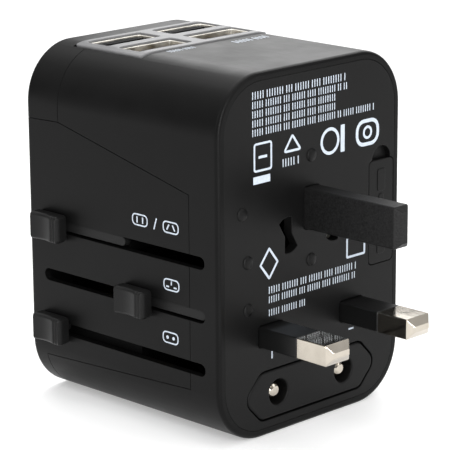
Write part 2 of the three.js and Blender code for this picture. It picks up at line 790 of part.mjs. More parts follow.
function usPlug() {
  return [
    piece('us_knob', usKnob(), 'knob'),
    piece('us_carriage', usCarriage(), 'inner'),
    piece('us_blade_live', usBlade(1), 'nickel'),
    piece('us_blade_neutral', usBlade(-1), 'nickel'),
  ];
}

function euPlug() {
  return [
    piece('eu_knob', euKnob(), 'knob'),
    piece('eu_carriage', euCarriage(), 'inner'),
    piece('eu_pin_live', euPin(1), 'nickel'),
    piece('eu_pin_neutral', euPin(-1), 'nickel'),
    piece('eu_sleeve_live', euSleeve(1), 'sleeve'),
    piece('eu_sleeve_neutral', euSleeve(-1), 'sleeve'),
  ];
}

function usbSupply() {
  return [
    piece('usb_bezel', usbBezel(), 'bezel'),
    ...usbPlaces().map((place, i) => piece(`usb_port_${i + 1}`, usbPort(place), 'steel')),
    piece('usb_board', usbBoard(), 'board'),
    piece('transformer', transformer(), 'tape'),
    piece('capacitor_left', capacitor(-1), 'can'),
    piece('capacitor_right', capacitor(1), 'can'),
    piece('board_screw_left', boardScrew(-1), 'steel'),
    piece('board_screw_right', boardScrew(1), 'steel'),
  ];
}

function outlet() {
  return [
    piece('socket_shutter', socketShutter(), 'inner'),
    piece('shutter_spring_left', shutterSpring(-1), 'steel'),
    piece('shutter_spring_right', shutterSpring(1), 'steel'),
    piece('live_clip', pinClip(1), 'brass'),
    piece('neutral_clip', pinClip(-1), 'brass'),
    piece('earth_clip', earthClip(), 'brass'),
    piece('chassis', chassis(), 'inner'),
    piece('live_bar', busBar(1), 'brass'),
    piece('neutral_bar', busBar(-1), 'brass'),
  ];
}

const adapter = new THREE.Group();
adapter.name = 'universal_travel_adapter';
adapter.add(...shells(), ...fuseParts(), ...ukPlug(), ...usPlug(), ...euPlug(), ...usbSupply(), ...outlet());

export default adapter;
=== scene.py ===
"""Looks of the universal travel adapter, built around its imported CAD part.

Lengths in this script are millimetres in the CAD frame. +Z is up, +Y points out of the plug face
and +X towards the sliders.
"""

import json
import math

import bmesh
import bpy
import numpy as np
from mathutils import Matrix, Vector
from mathutils.geometry import delaunay_2d_cdt


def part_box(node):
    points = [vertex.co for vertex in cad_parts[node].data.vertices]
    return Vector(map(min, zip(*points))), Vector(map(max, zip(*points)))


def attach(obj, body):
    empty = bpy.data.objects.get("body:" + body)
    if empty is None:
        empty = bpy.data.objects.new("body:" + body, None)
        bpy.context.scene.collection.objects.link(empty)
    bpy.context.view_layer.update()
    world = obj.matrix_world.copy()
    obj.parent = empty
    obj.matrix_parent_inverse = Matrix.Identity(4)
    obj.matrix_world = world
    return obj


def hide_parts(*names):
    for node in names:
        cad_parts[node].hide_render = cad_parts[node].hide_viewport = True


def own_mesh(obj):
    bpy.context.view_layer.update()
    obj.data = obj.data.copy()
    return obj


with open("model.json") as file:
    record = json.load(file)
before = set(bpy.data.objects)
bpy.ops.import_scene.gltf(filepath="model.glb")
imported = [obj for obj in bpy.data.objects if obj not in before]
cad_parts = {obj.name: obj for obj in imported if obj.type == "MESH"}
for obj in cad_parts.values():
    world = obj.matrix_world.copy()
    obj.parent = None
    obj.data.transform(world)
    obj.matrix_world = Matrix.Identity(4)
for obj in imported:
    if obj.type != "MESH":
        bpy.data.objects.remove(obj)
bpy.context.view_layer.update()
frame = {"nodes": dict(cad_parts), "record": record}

MM = 0.001
QUARTER = math.pi / 2


def span(node):
    """Lowest and highest corner of a CAD node in millimetres."""
    low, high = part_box(node)
    return low / MM, high / MM


def middle(node):
    low, high = span(node)
    return (low + high) / 2


# ---- driving dimensions ----

SHELL_LOW, SHELL_HIGH = span("rear_housing")
SHELL_LOW.y = span("front_crown")[0].y
SHELL_LOW.z = span("front_housing")[0].z
WIDTH, _, HEIGHT = SHELL_HIGH - SHELL_LOW
SIDE_X, PLUG_Y, SOCKET_Y = SHELL_HIGH.x, SHELL_HIGH.y, SHELL_LOW.y
CORNER = 11
SHELL = 1.5
GAP = 0.3
SEAM = 0.1
SEAM_EDGE = 0.05
RIM_EDGE = 0.8
PLATE_INSET = SHELL + 0.04
PLATE_THICK = 2

PANEL_TOP = [(SOCKET_Y, 55.1), (-17.2, 55.4), (18.1, 47.2)]
PANEL_BOTTOM = [(18.1, 10.4), (-22.3, 8.35)]
CROWN_FOOT = [(SOCKET_Y, 55.2), (-17.2, 55.5)]

SLOT = {"height": 2.4, "start": -22, "end": 22.1}
TONGUE = {"height": 1.85, "below": 0.4, "rise": 0.18, "thick": 1.8, "start": 2.4,
          "corner": 0.8, "edge": 0.12}
TONGUE_END = {"uk": SLOT["end"] - 0.3, "us": 0.6, "eu": span("eu_knob")[0].y + 6.2}
KNOB = {"scoop": 0.45, "edge": 0.7, "back": 0.5, "foot": 0.1, "clearance": 0.05}
LIP = {"proud": 0.45, "low": 1.3, "high": 0.6, "slope": 0.1}
RIB = {"start": 1.5, "depth": 0.16, "steps": 6}
SCOOP_STEPS = 10
FLANGE = 4.4

PLATE_EDGE = 0.08
HOLE_EDGE = 0.12
PIN_HOLE = {"play": 0.15, "corner": 0.6}
BLADE_SLOT = {"thick": 1.78, "height": 6.64, "swivel": 30}
NOTCH = {"radius": 2.6, "depth": 1.2}
BUMP = {"radius": 1.3, "height": 0.45, "root": 0.3}
BUMPS = [(-0.15, 51.7), (-18.5, 43.7), (-17.1, 34.4), (-0.15, 31.7), (-17, 25.4)]
LID = {"corner": 1, "edge": 0.15, "proud": 0.12}
LID_PANEL = {"thick": 0.5, "corner": 0.5, "edge": 0.1}
LID_PANELS = [(-6.2, 2.2, 4.4), (6.2, 2.2, 4.4), (0, 1.4, 7)]  # height over the middle, width, height
HEX = {"half_width": 18.15, "half_flat": 13.6, "corner": 2.2, "edge": 0.35, "bore": 2.45}

EARTH_OPENING = {"z": 44.23, "width": 4.6, "height": 8.6, "corner": 0.4}
PIN_OPENING = {"z": 22, "end": 14.715, "half": 2.3}
ROUND_OPENING = {"x": 9, "radius": 2.65}
BLADE_OPENING = {"near": 5.2, "far": 7.5, "half": 3.9}

BEZEL = {"half": 16.95, "proud": 0.3, "thick": 1.1, "corner": 0.6, "edge": 0.25}
MOUTH = {"half": (6.8, 3.1), "corner": 0.6, "edge": 0.2}
PORT = {"wall": 0.4, "corner": 0.8, "round": 0.1, "floor": 1}
PORT_TONGUE = {"offset": 1.3, "half_depth": 0.9, "half_width": 5.4, "recess": 0.25}
CONTACT = {"half_width": 0.5, "half_depth": 0.06, "foot": 1, "recess": 0.5}
CONTACTS = (-3.5, -1.2, 1.2, 3.5)
SPRING = {"radius": 1.5, "wire": 0.3, "turns": 5.5, "steps": 120, "sides": 8, "squeezed": 0.3}

# Rows of (distance from the end, inset of the width, inset of the height, corner radius).
UK_TIP = [(1.2, 0, 0, 0.22), (1.05, 0.12, 0.28, 0.2), (0.12, 2.2, 2.62, 0.15), (0, 2.34, 2.86, 0.12)]
EARTH_TIP = [(1.15, 0, 0, 0.4), (1, 0.14, 0.12, 0.38), (0.1, 2.3, 1.95, 0.25), (0, 2.5, 2.1, 0.2)]
BLADE_TIP = [(1.2, 0, 0, 0.15), (0.3, 0.7, 0.9, 0.12), (0, 1, 1.4, 0.1)]
UK_CORE = {"inset": 1.4, "corner": 0.4, "step": 0.1, "shoulder": 0.2}
SLEEVE_START = [(1, 1, 0.2), (0, 0, 0.32)]  # like the tips, without the distance
SLEEVE_END = [(0.1, 0, 0, 0.32), (0, 0.2, 0.2, 0.25), (0, 1, 1, 0.2)]
BLADE = {"thick": 1.5, "height": 6.35, "start": 1}
BLADE_ROOT = [(0, 3.2), (1.35, 3.2), (1.5, 3.05)]  # distance from the start, radius
EU_PIN = {"dome": 1.8, "core_inset": 0.45, "sleeve_wall": 0.4, "step": 0.1}
FUSE = {"glass_inset": 0.2, "glass_start": 1}
FUSE_CAP = [(0, 0.5), (0.15, 0.15), (0.5, 0), (4.8, 0), (5, 0.1)]  # distance from the end, inset

# ---- plane geometry ----

FILLET_STEPS = 4
SUPPORT = 0.15
TINY = 1e-5
SHARP = math.radians(34)


def rectangle(u, v, width, height):
    a, b = width / 2, height / 2
    return [(u - a, v - b), (u + a, v - b), (u + a, v + b), (u - a, v + b)]


def circle(u, v, radius, steps=32):
    turns = [4 * QUARTER * i / steps for i in range(steps)]
    return [(u + radius * math.cos(t), v + radius * math.sin(t)) for t in turns]


def rounded(points, radii, steps=6):
    """The outline with each corner turned into an arc. radii is one radius or one for each corner."""
    if not isinstance(radii, list):
        radii = [radii] * len(points)
    made = []
    for i, (point, radius) in enumerate(zip(points, radii)):
        corner = Vector(point)
        back = (Vector(points[i - 1]) - corner).normalized()
        ahead = (Vector(points[(i + 1) % len(points)]) - corner).normalized()
        if radius == 0:
            made.append(tuple(corner))
            continue
        half = back.angle(ahead) / 2
        centre = corner + (back + ahead).normalized() * (radius / math.sin(half))
        first = corner + back * (radius / math.tan(half)) - centre
        last = corner + ahead * (radius / math.tan(half)) - centre
        sweep = math.atan2(first.cross(last), first.dot(last))
        turns = [Matrix.Rotation(sweep * k / steps, 2) for k in range(steps + 1)]
        made.extend(tuple(centre + turn @ first) for turn in turns)
    return made


def rounded_box(u, v, width, height, radius, steps=6):
    return rounded(rectangle(u, v, width, height), radius, steps)


def mirrored(points):
    return [(-u, v) for u, v in reversed(points)]


def facing(loop, left):
    """The loop in the direction that keeps its inner side on its left, or on its right."""
    twice_area = sum(a[0] * b[1] - b[0] * a[1] for a, b in zip(loop, loop[1:] + loop[:1]))
    return loop if (twice_area > 0) == left else loop[::-1]


def inset(loop, distance):
    """The loop moved to its left."""
    points = np.array(loop, float)
    ahead = np.roll(points, -1, axis=0) - points
    ahead /= np.linalg.norm(ahead, axis=1)[:, None]
    normal = np.stack([-ahead[:, 1], ahead[:, 0]], axis=1)
    before = np.roll(normal, 1, axis=0)
    mitre = 1 + (normal * before).sum(axis=1)
    return points + (normal + before) * (distance / mitre)[:, None]


def distances(points, starts, ends):
    """Each point's distance to the nearest of the segments."""
    nearest = np.full(len(points), np.inf)
    for a, b in zip(starts, ends):
        along = b - a
        share = np.clip((points - a) @ along / (along @ along), 0, 1)
        away = points - a - share[:, None] * along
        nearest = np.minimum(nearest, np.hypot(away[:, 0], away[:, 1]))
    return nearest


def inside(points, loops):
    """Which points lie within an odd number of the loops."""
    odd = np.zeros(len(points), bool)
    x, y = points[:, 0], points[:, 1]
    for loop in loops:
        for (ax, ay), (bx, by) in zip(loop, loop[1:] + loop[:1]):
            if ay != by:
                crosses = (ay > y) != (by > y)
                odd ^= crosses & (x < (bx - ax) * (y - ay) / (by - ay) + ax)
    return odd


def quarter_round(distance, radius):
    """How far a quarter-round edge lies below the face, at some distance from the edge."""
    short = np.clip(radius - distance, 0, radius)
    return radius - np.sqrt(np.maximum(radius * radius - short * short, 0))


def fillet_rings(loop, radius):
    rings = [np.array(loop, float)]
    if radius > 0:
        turns = [QUARTER * (k + 1) / FILLET_STEPS for k in range(FILLET_STEPS)]
        rings += [inset(loop, radius * (1 - math.cos(t))) for t in turns]
        rings.append(inset(loop, radius + SUPPORT))
    return rings


def triangulate(loops, columns, rows, cut):
    """Points and triangles that fill the loops, with edges along the fillet rings and the given lines."""
    outer = np.array(loops[0][0])
    (u0, v0), (u1, v1) = outer.min(axis=0), outer.max(axis=0)
    points, edges = [], []
    for loop, radius in loops:
        for ring in fillet_rings(loop, radius):
            base, count = len(points), len(ring)
            points.extend(map(tuple, ring))
            edges.extend((base + i, base + (i + 1) % count) for i in range(count))
    lines = [((u, v0 - 1), (u, v1 + 1)) for u in columns] + [((u0 - 1, v), (u1 + 1, v)) for v in rows]
    for line in lines:
        edges.append((len(points), len(points) + 1))
        points.extend(line)
    flat, _, faces, *_ = delaunay_2d_cdt([Vector(p) for p in points], edges, [], 0, TINY)
    flat = np.array([tuple(p) for p in flat])
    faces = np.array(faces)
    centres = flat[faces].mean(axis=1)
    keep = inside(centres, [loop for loop, _ in loops])
    if cut:
        keep &= (centres[:, 0] > cut[0]) & (centres[:, 0] < cut[1])
    a, b, c = (flat[faces[:, i]] for i in range(3))
    area = (b - a)[:, 0] * (c - a)[:, 1] - (b - a)[:, 1] * (c - a)[:, 0]
    return flat, faces[keep & (np.abs(area) > TINY * TINY)]


def edge_drops(flat, loops, is_plain):
    """How far each point lies below the face because of the rounded edges."""
    drops = np.zeros(len(flat))
    for loop, radius in loops:
        starts = np.array(loop, float)
        ends = np.roll(starts, -1, axis=0)
        round_ones = [not (is_plain and is_plain(a, b)) for a, b in zip(starts, ends)]
        if radius > 0:
            near = distances(flat, starts[round_ones], ends[round_ones])
            drops = np.maximum(drops, quarter_round(near, radius))
    return drops


# ---- solids ----


class Solid:
    """Closed bodies gathered into one mesh."""

    def __init__(self):
        self.bm = bmesh.new()

    def vertex(self, point):
        return self.bm.verts.new(Vector(point) * MM)

    def face(self, corners, material=0):
        if len(set(corners)) > 2:
            self.bm.faces.new(corners).material_index = material

    def slab(self, loops, thick, place, columns=(), rows=(), cut=None, both=False, is_plain=None):
        """A plate with quarter-round edges. loops holds (outline, edge radius), the outer one first.

        place(u, v, n) is the point at height n over the face. The mesh has lines along columns and rows.
        cut = (low, high) are two values of u that are the same place. both rounds the underside too.
        is_plain picks edges that stay square.
        """
        loops = [(facing(loop, i == 0), radius) for i, (loop, radius) in enumerate(loops)]
        ends = cut or ()
        flat, faces = triangulate(loops, [*columns, *ends], rows, cut)
        drops = edge_drops(flat, loops, is_plain)
        top, bottom, key_of = {}, {}, {}
        for i in np.unique(faces):
            u, v = flat[i]
            key = (round(cut[0] if cut and u > cut[1] - TINY else u, 4), round(v, 4))
            key_of[i] = key
            if key not in top:
                top[key] = self.vertex(place(u, v, -drops[i]))
                bottom[key] = self.vertex(place(u, v, (drops[i] if both else 0) - thick))
        self.skin([[key_of[i] for i in face] for face in faces], top, bottom)

    def skin(self, faces, top, bottom):
        """Faces over top and bottom, and walls round their border."""
        faces = [face for face in faces if len(set(face)) == 3]
        sides = {(a, b) for face in faces for a, b in zip(face, face[1:] + face[:1])}
        for face in faces:
            self.face([top[k] for k in face])
            self.face([bottom[k] for k in reversed(face)])
        for a, b in sides:
            if (b, a) not in sides:
                self.face([top[a], bottom[a], bottom[b], top[b]])

    def loft(self, rings, material=0):
        """A skin over rings of points, with a flat cap at each end."""
        made = [[self.vertex(p) for p in ring] for ring in rings]
        for one, two in zip(made, made[1:]):
            for i in range(len(one)):
                j = (i + 1) % len(one)
                self.face([one[i], one[j], two[j], two[i]], material)
        self.face(made[0][::-1], material)
        self.face(made[-1], material)

    def ring(self, outer, inner, low, high, place):
        """A flat band between two outlines of equal length."""
        corners = [(outer, low), (outer, high), (inner, high), (inner, low)]
        edges = [[self.vertex(place(u, v, n)) for u, v in loop] for loop, n in corners]
        for k, edge in enumerate(edges):
            following = edges[(k + 1) % 4]
            for i in range(len(edge)):
                j = (i + 1) % len(edge)
                self.face([edge[i], edge[j], following[j], following[i]])

    def prism(self, outline, low, high, place, material=0):
        self.loft([[place(u, v, n) for u, v in outline] for n in (low, high)], material)

    def piece(self, name, materials, body, nodes=()):
        """Turns the mesh into a piece that rides on body and stands for nodes."""
        bmesh.ops.recalc_face_normals(self.bm, faces=self.bm.faces)
        for face in self.bm.faces:
            face.smooth = True
        for edge in self.bm.edges:
            edge.smooth = edge.is_manifold and edge.calc_face_angle() < SHARP
        data = bpy.data.meshes.new(name)
        self.bm.to_mesh(data)
        self.bm.free()
        for material in materials:
            data.materials.append(material)
        made = bpy.data.objects.new(name, data)
        bpy.context.scene.collection.objects.link(made)
        weigh = made.modifiers.new("even_normals", "WEIGHTED_NORMAL")
        weigh.keep_sharp = True
        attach(made, body)
        if nodes:
            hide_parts(*nodes)
        return made


# ---- places on the object ----

FLAT_X = WIDTH / 2 - CORNER
FLAT_Z = HEIGHT / 2 - CORNER
ARC = QUARTER * CORNER
PERIMETER = 4 * (FLAT_X + FLAT_Z + ARC)
TOP = PERIMETER / 2


def on_plug_face(u, v, n):
    """u is to the right and v upwards, seen from outside."""
    return (-u, PLUG_Y + n, v)


def on_socket_face(u, v, n):
    return (u, SOCKET_Y - n, v)


def on_side(u, v, n):
    return (SIDE_X + n, u, v)


def on_top(u, v, n):
    return (u, v, HEIGHT + n)


def on_shell(s, y, n):
    """s runs round the shell from the middle of the bottom face, up the +X side and over the top."""
    s = (s + FLAT_X) % PERIMETER
    for quarter in range(4):
        side = 2 * (FLAT_X if quarter % 2 == 0 else FLAT_Z)
        heading = quarter * QUARTER
        before = corner_centre(quarter - 1)
        if s <= side:
            along = Vector((math.cos(heading), math.sin(heading))) * s
            return shell_point(before + along, heading - QUARTER, y, n)
        s -= side
        if s <= ARC:
            return shell_point(corner_centre(quarter), heading - QUARTER + s / CORNER, y, n)
        s -= ARC
    return shell_point(corner_centre(3), -QUARTER, y, n)


def corner_centre(quarter):
    x, z = [(1, -1), (1, 1), (-1, 1), (-1, -1)][quarter % 4]
    return Vector((x * FLAT_X, HEIGHT / 2 + z * FLAT_Z))


def from_rim(y):
    return min(PLUG_Y - y, y - SOCKET_Y)


def shell_point(anchor, facing_angle, y, n):
    reach = CORNER + max(n - quarter_round(from_rim(y), RIM_EDGE), -SHELL)
    return (anchor.x + reach * math.cos(facing_angle), y, anchor.y + reach * math.sin(facing_angle))


def up_side(z):
    """Where the shell's +X side has height z, as a distance round the shell."""
    if z < CORNER:
        return FLAT_X + CORNER * math.acos(1 - z / CORNER)
    if z > HEIGHT - CORNER:
        return FLAT_X + ARC + 2 * FLAT_Z + CORNER * math.asin(1 - (HEIGHT - z) / CORNER)
    return FLAT_X + ARC + z - CORNER


def over_top(x):
    """The distance from the middle of the top to the place with this x, along the shell."""
    if abs(x) <= FLAT_X:
        return x
    return math.copysign(FLAT_X + CORNER * math.asin((abs(x) - FLAT_X) / CORNER), x)


def corner_columns():
    """Lines along Y that follow the four rounded corners."""
    steps = 18
    starts = (FLAT_X, FLAT_X + ARC + 2 * FLAT_Z)
    right = [start + ARC * k / steps for start in starts for k in range(steps + 1)]
    return right + [PERIMETER - s for s in right]


def rim_rows():
    """Lines round the shell that follow the rounded rims."""
    turns = [QUARTER * k / FILLET_STEPS for k in range(FILLET_STEPS + 1)]
    insets = [RIM_EDGE * (1 - math.cos(t)) for t in turns if t > 0] + [RIM_EDGE + SUPPORT]
    return [PLUG_Y - d for d in insets] + [SOCKET_Y + d for d in insets]


def on_rim(start, end):
    return max(from_rim(start[1]), from_rim(end[1])) < TINY


def at_side(y, z):
    """(distance round the shell, y) of a point of the +X side view."""
    return (up_side(z), y)


def side_line(start, end, steps=8):
    """A straight line of the side view, as it runs over the rounded shell."""
    (y0, z0), (y1, z1) = start, end
    return [at_side(y0 + (y1 - y0) * k / steps, z0 + (z1 - z0) * k / steps) for k in range(steps + 1)]


# ---- shells ----

KNOBS = ("uk", "us", "eu")
CUT_MARGIN = 5


def slot_mouths(y, end):
    """The slots' outlines from the lowest up, each from the seam at y round its end and back."""
    line = []
    half = SLOT["height"] / 2
    inward = 1 if end > y else -1
    for z in sorted(middle(f"{name}_knob").z for name in KNOBS):
        centre = end - inward * half
        turns = [QUARTER * k / 4 for k in range(-4, 5)]
        line.append(at_side(y, z - half))
        line += [at_side(centre + inward * half * math.cos(t), z + half * math.sin(t)) for t in turns]
        line.append(at_side(y, z + half))
    return line


def front_outline():
    top_end, top_corner, front_high = PANEL_TOP
    front_low, ring_corner = PANEL_BOTTOM
    low_line = side_line(ring_corner, front_low)
    high_line = [at_side(*front_high), at_side(*top_corner), at_side(*top_end)]
    right = [*low_line, *slot_mouths(front_low[0], SLOT["start"]), *high_line]
    left = mirrored([*low_line, *high_line])
    return left + right


def rear_outline():
    (front_y, front_z), (ring_y, ring_z) = PANEL_BOTTOM
    high_z = PANEL_TOP[2][1] + SEAM
    crown_y, crown_z = CROWN_FOOT[1]
    pocket = TOP - over_top(BEZEL["half"] + GAP)
    low_line = side_line((ring_y + SEAM, ring_z - SEAM), (front_y + SEAM, front_z - SEAM))
    high_line = [at_side(front_y + SEAM, high_z), at_side(crown_y + SEAM, crown_z)]
    bezel_high = span("usb_bezel")[1].y
    notch = [(pocket, crown_y + SEAM), (pocket, bezel_high + GAP)]
    mouths = slot_mouths(front_y + SEAM, SLOT["end"])
    right = [(-CUT_MARGIN, ring_y + SEAM), *low_line, *mouths, *high_line, *notch]
    left = [(PERIMETER - s, y) for s, y in reversed([*low_line, *high_line, *notch])]
    return [
        *right,
        *left,
        (PERIMETER + CUT_MARGIN, ring_y + SEAM),
        (PERIMETER + CUT_MARGIN, PLUG_Y),
        (-CUT_MARGIN, PLUG_Y),
    ]


def crown_outline():
    pocket = TOP - over_top(BEZEL["half"] + GAP)
    bezel_low = span("usb_bezel")[0].y - GAP
    foot = [at_side(y, z) for y, z in CROWN_FOOT]
    right = [*foot, (pocket, CROWN_FOOT[1][0]), (pocket, bezel_low)]
    return right + [(PERIMETER - s, y) for s, y in reversed(right)]


def shells(plastic):
    columns = corner_columns()
    both_ways = columns + [s - PERIMETER for s in columns]
    rows = rim_rows()
    for name, node, outline, lines, cut in (
        ("shell_rear", "rear_housing", rear_outline(), columns, (0, PERIMETER)),
        ("shell_front", "front_housing", front_outline(), both_ways, None),
        ("shell_crown", "front_crown", crown_outline(), columns, None),
    ):
        made = Solid()
        made.slab([(outline, SEAM_EDGE)], SHELL, on_shell, lines, rows, cut, is_plain=on_rim)
        made.piece(name, [plastic], "housing", [node])


# ---- plates ----


def plate_outline():
    width, height = WIDTH - 2 * PLATE_INSET, HEIGHT - 2 * PLATE_INSET
    return rounded_box(0, HEIGHT / 2, width, height, CORNER - PLATE_INSET, 12)


def blade_slot(x, z, lean):
    """The bow-tie that a blade needs to turn from upright to its leaning place."""
    a, b = BLADE_SLOT["thick"] / 2, BLADE_SLOT["height"] / 2
    reach = math.hypot(a, b)
    own = math.atan2(a, b)
    swivel = math.radians(BLADE_SLOT["swivel"])
    turns = [own - (2 * own + swivel) * k / 6 for k in range(7)]
    lobe = [reach * Vector((math.sin(t), math.cos(t))) for t in turns]
    side = Vector((-a, -a * math.tan(swivel / 2)))
    half = [*lobe, side]
    return [(x + lean * p.x, z + p.y) for p in half + [-p for p in half]]


def hex_outline(grow):
    low, high = span("eu_guide_block")
    z, a = (low.z + high.z) / 2, HEX["half_width"] + grow
    b, c = HEX["half_flat"] + grow / 2, (high.z - low.z) / 2 + grow
    points = [(-a, z), (-b, z - c), (b, z - c), (a, z), (b, z + c), (-b, z + c)]
    return rounded(points, HEX["corner"] + grow, 5)


def lid_outline():
    low, high = span("fuse_door")
    centre = (low + high) / 2
    return rounded_box(-centre.x, centre.z, high.x - low.x, high.z - low.z, LID["corner"], 4)


def pocket_outline():
    """The hole for the lid, with a half-round finger notch over it."""
    low, high = span("fuse_door")
    left, right = -high.x - SEAM, -low.x + SEAM
    bottom, top = low.z - SEAM, high.z + SEAM
    centre = (left + right) / 2
    turns = [2 * QUARTER * k / 16 for k in range(17)]
    notch = [(centre + NOTCH["radius"] * math.cos(t), top + NOTCH["radius"] * math.sin(t)) for t in turns]
    points = [(left, bottom), (right, bottom), (right, top), *notch, (left, top)]
    corner = LID["corner"]
    return rounded(points, [corner, corner, corner, *[0] * len(notch), corner], 4)


def pin_hole(node):
    low, high = span(node)
    centre = (low + high) / 2
    width, height = (side + 2 * PIN_HOLE["play"] for side in (high.x - low.x, high.z - low.z))
    return rounded_box(-centre.x, centre.z, width, height, PIN_HOLE["corner"], 4)


def plug_face(plastic):
    pins = [pin_hole(node) for node in ("uk_live_sleeve", "uk_neutral_sleeve", "uk_earth_pin")]
    blades = []
    for side, node in ((1, "us_blade_live"), (-1, "us_blade_neutral")):
        centre = middle(node)
        blades.append(blade_slot(-centre.x, centre.z, side))
    holes = [*pins, *blades, hex_outline(GAP), pocket_outline()]
    plate = Solid()
    loops = [(plate_outline(), PLATE_EDGE), *((hole, HOLE_EDGE) for hole in holes)]
    plate.slab(loops, PLATE_THICK, on_plug_face)
    for u, v in BUMPS:
        dome(plate, u, v, on_plug_face)
    lid = middle("fuse_door")
    floor = circle(-lid.x, span("fuse_door")[1].z + GAP, NOTCH["radius"] + GAP)
    plate.prism([p for p in floor if p[1] > lid.z], -PLATE_THICK, -NOTCH["depth"], on_plug_face)
    plate.piece("face_plug", [plastic], "housing", ["plug_plate"])


def dome(solid, u, v, place):
    rings = [[place(a, b, -BUMP["root"]) for a, b in circle(u, v, BUMP["radius"], 20)]]
    for k in range(5):
        turn = QUARTER * k / 5
        radius, height = BUMP["radius"] * math.cos(turn), BUMP["height"] * math.sin(turn)
        rings.append([place(a, b, height) for a, b in circle(u, v, radius, 20)])
    solid.loft(rings)


def guide_block(plastic):
    low, high = span("eu_guide_block")
    pins = [middle(node) for node in ("eu_pin_live", "eu_pin_neutral")]
    bores = [circle(-pin.x, pin.z, HEX["bore"]) for pin in pins]
    block = Solid()
    loops = [(hex_outline(0), HEX["edge"]), *((bore, HEX["edge"]) for bore in bores)]
    block.slab(loops, high.y - low.y, on_plug_face)
    block.piece("guide_eu", [plastic], "housing", ["eu_guide_block"])


def socket_face(plastic):
    hole = EARTH_OPENING
    earth = rounded_box(0, hole["z"], hole["width"], hole["height"], hole["corner"], 3)
    holes = [earth, socket_opening(-1), socket_opening(1)]
    plate = Solid()
    loops = [(plate_outline(), PLATE_EDGE), *((hole, HOLE_EDGE) for hole in holes)]
    plate.slab(loops, PLATE_THICK, on_socket_face)
    plate.piece("face_socket", [plastic], "housing", ["socket_plate"])


def socket_opening(side):
    """The joined outline of the flat-pin, round-pin and blade openings on one side."""
    half, tall = PIN_OPENING["half"], BLADE_OPENING["half"]
    near, far = BLADE_OPENING["near"], BLADE_OPENING["far"]
    bulge = circle(ROUND_OPENING["x"], 0, ROUND_OPENING["radius"])
    above = sorted((p for p in bulge if p[1] > half), key=lambda p: -p[0])
    upper = [(PIN_OPENING["end"], half), *above, (far, half), (far, tall), (near, tall)]
    points = upper + [(x, -y) for x, y in reversed(upper)]
    return [(side * x, PIN_OPENING["z"] + y) for x, y in points]


def fuse_lid(plastic):
    low, high = span("fuse_door")
    centre = (low + high) / 2
    lid = Solid()
    lid.slab([(lid_outline(), LID["edge"])], high.y - low.y, on_plug_face)
    for rise, width, height in LID_PANELS:
        panel = rounded_box(-centre.x, centre.z + rise, width, height, LID_PANEL["corner"], 4)
        lid.slab([(panel, LID_PANEL["edge"])], LID_PANEL["thick"], raised(on_plug_face, LID["proud"]))
    lid.piece("lid_fuse", [plastic], "fuse_lid", ["fuse_door"])


def fuse(name, metal, glass):
    """A glass tube between two drawn metal caps."""
    low, high = span(f"{name}_fuse")
    centre = (low + high) / 2
    radius = (high.x - low.x) / 2

    def rings(sections):
        return [[(x, y, z) for x, y in circle(centre.x, centre.y, r)] for z, r in sections]

    made = Solid()
    tube, start = radius - FUSE["glass_inset"], FUSE["glass_start"]
    made.loft(rings([(low.z + start, tube), (high.z - start, tube)]), 1)
    made.loft(rings([(low.z + along, radius - inward) for along, inward in FUSE_CAP]))
    made.loft(rings([(high.z - along, radius - inward) for along, inward in reversed(FUSE_CAP)]))
    made.piece(f"fuse_{name}", [metal, glass], "housing", [f"{name}_fuse"])


def raised(place, height):
    return lambda u, v, n: place(u, v, n + height)


# ---- sliders ----


def grip_outline(low, high):
    """The grip from above as (y, height over the side), with a scooped face, two ribs and a lip."""
    back, front, tall = low.y, high.y - LIP["proud"], high.x - SIDE_X
    scoop_end = front - RIB["start"]
    scoop_start = back + KNOB["back"]
    scoop = []
    for k in range(SCOOP_STEPS + 1):
        t = k / SCOOP_STEPS
        dip = KNOB["scoop"] * math.sin(t * 2 * QUARTER)
        scoop.append((scoop_end + (scoop_start - scoop_end) * t, tall - dip))
    ribs = []
    for k in range(2 * RIB["steps"] + 1):
        t = k / RIB["steps"]
        dip = RIB["depth"] * (1 - math.cos(4 * QUARTER * t)) / 2
        ribs.append((front - RIB["start"] * t / 2, tall - dip))
    foot = [(back, KNOB["foot"]), (front, KNOB["foot"])]
    lip = [(high.y, tall - LIP["low"]), (high.y - LIP["slope"], tall - LIP["high"])]
    return [*foot, *lip, *ribs, *scoop[1:], (back, tall - KNOB["back"])]


def knob(name, plastic, dark):
    node = f"{name}_knob"
    low, high = span(node)
    grip_low, grip_high = grip_span(node)
    z = (low.z + high.z) / 2
    height = grip_high.z - grip_low.z
    made = Solid()

    def across(u, v, n):
        return (SIDE_X + v, u, z + height / 2 + n)

    made.slab([(grip_outline(grip_low, grip_high), KNOB["edge"])], height, across, both=True)
    start, end = grip_low.y + TONGUE["start"], TONGUE_END[name]
    foot = z + TONGUE["rise"] - TONGUE["height"] / 2
    top = foot + TONGUE["height"]
    points = [(start, foot), (end, foot), (end, top), (start, top)]
    outline = rounded(points, [0, TONGUE["corner"], TONGUE["corner"], 0], 5)
    made.slab([(outline, TONGUE["edge"])], TONGUE["thick"], raised(on_side, -TONGUE["below"]))
    # The flange behind the slot takes the second, near-black material. This is painted shade for the dark
    # inside of the slot.
    flange = rectangle((start + high.y) / 2, z, high.y - start, FLANGE)
    made.prism(flange, low.x, SIDE_X - SHELL - GAP, lambda u, v, n: (n, u, v), 1)
    made.piece(f"knob_{name}", [plastic, dark], f"{name}_plug", [node])


def grip_span(node):
    """The box of the part of a knob that stands over the shell's side."""
    points = [v.co / MM for v in frame["nodes"][node].data.vertices]
    points = [p for p in points if p.x > SIDE_X + KNOB["clearance"]]
    low = Vector(min(p[i] for p in points) for i in range(3))
    high = Vector(max(p[i] for p in points) for i in range(3))
    return low, high


# ---- pins ----


def rings_along_y(x, z, width, height, rows):
    """Rings round a line along Y. Rows are (y, inset of the width, inset of the height, corner radius)."""
    return [
        [(a, y, b) for a, b in rounded_box(x, z, width - across, height - down, corner, 4)]
        for y, across, down, corner in rows
    ]


